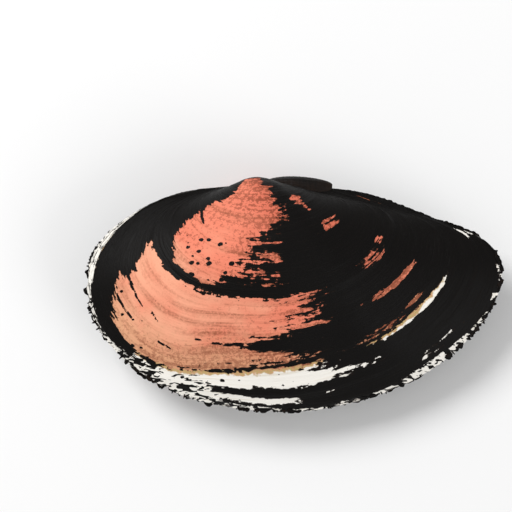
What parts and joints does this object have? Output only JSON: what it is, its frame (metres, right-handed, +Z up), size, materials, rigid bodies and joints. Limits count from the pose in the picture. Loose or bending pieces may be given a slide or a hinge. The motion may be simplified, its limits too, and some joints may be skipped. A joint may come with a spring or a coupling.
{
  "type": "clam shell",
  "caption": "Closed oval clam shell lying on its side, two domed valves with fine growth ledges, held by a dark ligament behind the beaks.",
  "frame": {"origin": "middle of the bounding box in plan, at the level of the flat spot that the shell rests on", "axes": "+Z up and out of the left valve, +X towards the posterior end, +Y towards the beaks and ligament"},
  "size_m": [0.075, 0.0422, 0.0218],
  "materials": {
    "left_valve": "salmon shell under a worn, near-black skin, satin",
    "right_valve": "salmon shell under a worn, near-black skin, satin",
    "ligament": "horny, dark olive brown, ribbed"
  },
  "bodies": {
    "root": {"left_valve": "left_valve", "right_valve": "right_valve", "ligament": "ligament"}
  },
  "joints": []
}
